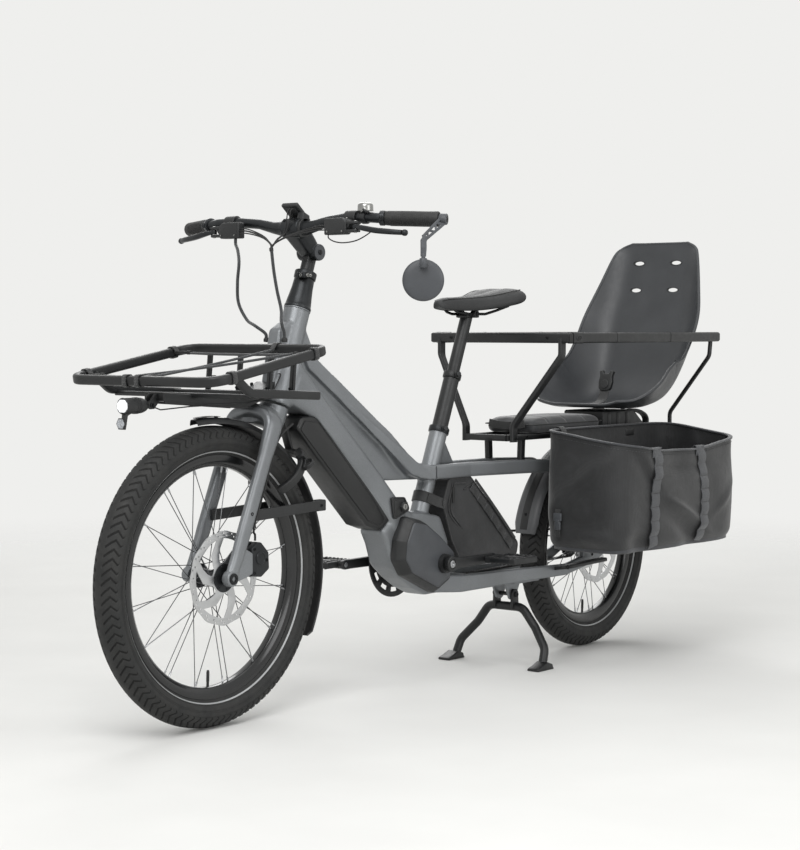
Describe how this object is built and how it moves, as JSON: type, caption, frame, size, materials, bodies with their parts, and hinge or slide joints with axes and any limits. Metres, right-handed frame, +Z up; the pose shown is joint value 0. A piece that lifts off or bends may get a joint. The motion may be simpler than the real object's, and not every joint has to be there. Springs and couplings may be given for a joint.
{
  "type": "long-tail cargo bike",
  "caption": "Long-tail cargo bicycle with low step-through frame, front tray, rear rack with hoop and handrails, child seat, cushion and open side bag, standing on its centre stand.",
  "frame": {"origin": "on the ground below the centre of the overall box", "axes": "+X forward along the bike, +Y to the rider's left, +Z up"},
  "size_m": [2.1443, 0.8014, 1.1304],
  "materials": {
    "grey_paint": "satin",
    "black_paint": "satin",
    "tyre_rubber": "matte",
    "soft_rubber": "matte",
    "black_plastic": "matte",
    "shell_plastic": "satin",
    "bag_canvas": "matte",
    "pad_foam": "matte",
    "rotor_steel": "brushed",
    "bright_metal": "polished",
    "lens": "clear",
    "hose_braid": "braided"
  },
  "bodies": {
    "frame": {"battery": "black_plastic", "battery_lock": "black_plastic", "child_seat": "shell_plastic", "child_seat_base": "black_plastic", "drive_belt": "soft_rubber", "drive_unit": "black_plastic", "frame_bag": "bag_canvas", "front_rack": "black_paint", "handrail_left": "black_paint", "handrail_right": "black_paint", "light_lead": "soft_rubber", "main_frame": "grey_paint", "motor_cover": "black_plastic", "pannier": "bag_canvas", "rack_cords": "soft_rubber", "rack_hoop": "black_paint", "rear_caliper": "black_paint", "rear_cushion": "pad_foam", "rear_mudguard": "black_plastic", "rear_rack": "black_paint", "rear_triangle": "grey_paint"},
    "stem_head": {"bell": "bright_metal", "control_lead": "soft_rubber", "controls_left": "black_plastic", "controls_right": "black_plastic", "display": "black_plastic", "grip_left": "soft_rubber", "grip_right": "soft_rubber", "handlebar": "black_paint", "hose_bundle": "hose_braid", "hose_right": "hose_braid", "stem_head": "black_paint"},
    "stand": {"centre_stand": "black_paint"},
    "cranks": {"cranks": "black_paint"},
    "steering": {"fork": "grey_paint", "front_brake_hose": "soft_rubber", "front_caliper": "black_paint", "front_mudguard": "black_plastic", "headset_cover": "black_paint", "ring_lock": "black_plastic"},
    "headlight": {"front_reflector": "lens", "headlight": "black_plastic", "headlight_lens": "lens"},
    "front_wheel": {"front_rotor": "rotor_steel", "front_tyre": "tyre_rubber", "front_wheel": "black_paint"},
    "lever_left": {"lever_left": "black_paint"},
    "lever_right": {"lever_right": "black_paint"},
    "lock_lever": {"lock_lever": "black_plastic"},
    "mirror_arm": {"mirror_arm": "black_plastic"},
    "mirror_head": {"mirror_head": "black_plastic"},
    "pedal_left": {"pedal_left": "black_paint"},
    "pedal_right": {"pedal_right": "black_paint"},
    "rear_wheel": {"rear_rotor": "rotor_steel", "rear_tyre": "tyre_rubber", "rear_wheel": "black_paint"},
    "seatpost_upper": {"saddle": "pad_foam", "seatpost_upper": "black_paint"},
    "seatpost_lower": {"seatpost_lower": "black_paint"},
    "stem_post": {"stem_post": "black_paint"}
  },
  "joints": [
    {"name": "steering_turn", "type": "hinge", "parent": "frame", "child": "steering", "pos_m": [0.46744, -0.0224, 0.8945], "axis": [-0.342, 0, 0.9397], "range_deg": [-36, 36], "deforming": ["hose_right", "hose_bundle"]},
    {"name": "front_wheel_spin", "type": "hinge", "parent": "steering", "child": "front_wheel", "pos_m": [0.7487, -0.0224, 0.3235], "axis": [0, 1, 0], "continuous": true},
    {"name": "rear_wheel_spin", "type": "hinge", "parent": "frame", "child": "rear_wheel", "pos_m": [-0.6838, -0.0224, 0.2735], "axis": [0, 1, 0], "continuous": true},
    {"name": "crank_spin", "type": "hinge", "parent": "frame", "child": "cranks", "pos_m": [0.0287, -0.0224, 0.291], "axis": [0, 1, 0], "continuous": true},
    {"name": "pedal_left_spin", "type": "hinge", "parent": "cranks", "child": "pedal_left", "pos_m": [-0.1413, -0.0224, 0.291], "axis": [0, 1, 0], "continuous": true},
    {"name": "pedal_right_spin", "type": "hinge", "parent": "cranks", "child": "pedal_right", "pos_m": [0.1987, -0.0224, 0.291], "axis": [0, 1, 0], "continuous": true},
    {"name": "stand_fold", "type": "hinge", "parent": "frame", "child": "stand", "pos_m": [-0.3263, -0.0224, 0.176], "axis": [0, 1, 0], "range_deg": [0, 80]},
    {"name": "stem_height", "type": "slide", "parent": "steering", "child": "stem_post", "axis": [-0.342, 0, 0.9397], "range_m": [-0.015, 0.035], "deforming": ["hose_right", "hose_bundle"]},
    {"name": "stem_tilt", "type": "hinge", "parent": "stem_post", "child": "stem_head", "pos_m": [0.42104, -0.0224, 1.022], "axis": [0, 1, 0], "range_deg": [-15, 25], "deforming": ["hose_right", "hose_bundle"]},
    {"name": "lever_left_pull", "type": "hinge", "parent": "stem_head", "child": "lever_left", "pos_m": [0.51454, 0.1876, 1.07], "axis": [0, 0, 1], "range_deg": [0, 12], "stiffness_Nm_per_rad": 0.8, "springref_deg": -11.46},
    {"name": "lever_right_pull", "type": "hinge", "parent": "stem_head", "child": "lever_right", "pos_m": [0.51454, -0.2324, 1.07], "axis": [0, 0, -1], "range_deg": [0, 12], "stiffness_Nm_per_rad": 0.8, "springref_deg": -11.46},
    {"name": "seatpost_lower_slide", "type": "slide", "parent": "frame", "child": "seatpost_lower", "axis": [-0.3714, 0, 0.9285], "range_m": [-0.03, 0.06]},
    {"name": "seatpost_upper_slide", "type": "slide", "parent": "seatpost_lower", "child": "seatpost_upper", "axis": [-0.3714, 0, 0.9285], "range_m": [-0.06, 0.06]},
    {"name": "mirror_arm_turn", "type": "hinge", "parent": "stem_head", "child": "mirror_arm", "pos_m": [0.42854, 0.3496, 1.084], "axis": [-0.3991, 0.9164, -0.0318], "range_deg": [-40, 40]},
    {"name": "mirror_head_turn", "type": "hinge", "parent": "mirror_arm", "child": "mirror_head", "pos_m": [0.51895, 0.37587, 0.953], "axis": [0, 0, 1], "range_deg": [-30, 30]},
    {"name": "lock_lever_turn", "type": "hinge", "parent": "steering", "child": "lock_lever", "pos_m": [0.53615, -0.0224, 0.53237], "axis": [-0.7009, 0, -0.7133], "range_deg": [0, 18]},
    {"name": "headlight_tilt", "type": "hinge", "parent": "frame", "child": "headlight", "pos_m": [0.9267, -0.0224, 0.695], "axis": [0, 1, 0], "range_deg": [-10, 10]}
  ]
}
